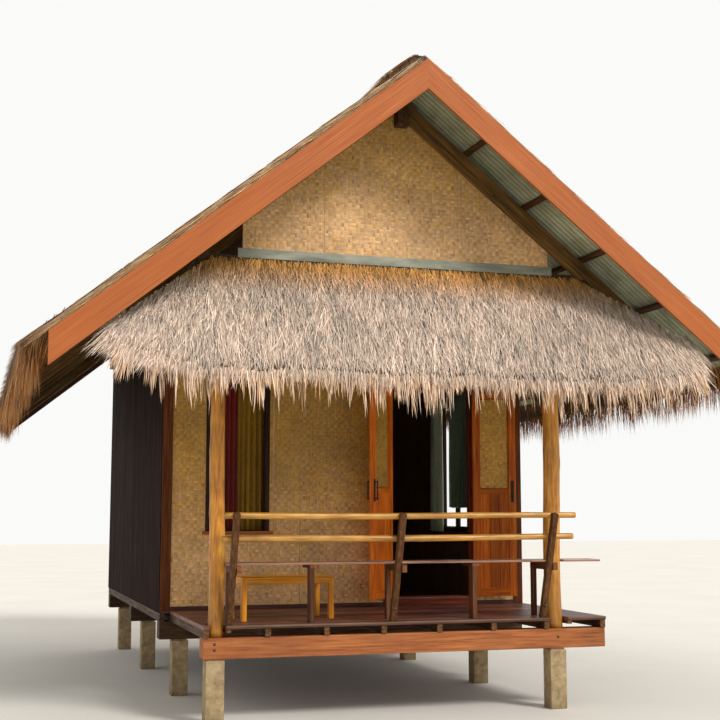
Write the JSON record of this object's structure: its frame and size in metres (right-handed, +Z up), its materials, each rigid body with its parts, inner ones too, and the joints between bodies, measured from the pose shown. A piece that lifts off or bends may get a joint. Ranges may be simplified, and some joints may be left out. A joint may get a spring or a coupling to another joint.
{
  "type": "stilt house with a thatched roof",
  "caption": "Small house on short concrete piers with woven mat walls, an open railed porch, a double door, a steep thatched gable roof and a grass awning.",
  "frame": {"origin": "on the ground under the middle of the house's box", "axes": "+X to the right along the front, +Y into the house from the porch, along the ridge, +Z up"},
  "size_m": [6.124, 7.532, 5.3687],
  "materials": {
    "concrete": "cast concrete, weathered",
    "red_timber": "oiled red-brown timber",
    "dark_timber": "dark stained timber",
    "deck_boards": "oiled dark boards, glossy",
    "peeled_log": "peeled and oiled log",
    "woven_mat": "woven bamboo mat",
    "dark_planks": "dark stained planks",
    "door_wood": "varnished orange-brown timber",
    "door_panels": "woven mat over varnished boards",
    "iron": "dark ironwork",
    "window_wood": "dark red-brown timber",
    "bamboo": "bamboo pole",
    "curtain_cloth": "olive-green cotton",
    "flashing_metal": "grey sheet metal",
    "roof_metal": "grey-green corrugated sheet",
    "thatch": "dry grass thatch",
    "barge_wood": "orange-red timber boards",
    "awning_grass": "long dry grass",
    "rail_timber": "brown sawn timber",
    "table_wood": "yellow varnished wood"
  },
  "bodies": {
    "house": {"concrete_piers": "concrete", "front_floor_beam": "red_timber", "floor_beams": "dark_timber", "floor_joists": "dark_timber", "porch_deck": "deck_boards", "room_floor": "deck_boards", "log_posts": "peeled_log", "porch_tie_beam": "dark_timber", "wall_plates": "dark_timber", "front_wall_left": "woven_mat", "front_wall_over_door": "woven_mat", "front_wall_right": "woven_mat", "left_wall": "dark_planks", "right_wall": "dark_planks", "rear_wall": "woven_mat", "corner_trims": "red_timber", "door_frame": "door_wood", "door_hinges": "iron", "window_frames": "window_wood", "curtain_rods": "bamboo", "curtains": "curtain_cloth", "gable_board": "dark_timber", "gable_panel": "woven_mat", "gable_flashing": "flashing_metal", "room_gable": "woven_mat", "rear_gable": "woven_mat", "ridge_beam": "dark_timber", "rafters_left": "dark_timber", "rafters_right": "dark_timber", "purlins": "dark_timber", "roof_sheet_left": "roof_metal", "roof_sheet_right": "roof_metal", "thatch_left": "thatch", "thatch_right": "thatch", "ridge_cap": "thatch", "barge_boards_left": "barge_wood", "barge_boards_right": "barge_wood", "awning_arms": "dark_timber", "awning_poles": "bamboo", "awning_thatch": "awning_grass", "rail_posts": "rail_timber", "porch_rails": "peeled_log", "bench_seat": "rail_timber", "bench_legs": "dark_timber", "porch_table": "table_wood"},
    "left_leaf": {"left_leaf_frame": "door_wood", "left_leaf_panels": "door_panels", "left_leaf_fittings": "iron"},
    "right_leaf": {"right_leaf_frame": "door_wood", "right_leaf_panels": "door_panels", "right_leaf_fittings": "iron"}
  },
  "joints": [
    {"name": "left_door_hinge", "type": "hinge", "parent": "house", "child": "left_leaf", "pos_m": [0.446, -1.15, 0.836], "axis": [0, 0, 1], "range_deg": [-30, 135]},
    {"name": "right_door_hinge", "type": "hinge", "parent": "house", "child": "right_leaf", "pos_m": [1.304, -1.15, 0.836], "axis": [0, 0, 1], "range_deg": [-165, 0]}
  ]
}
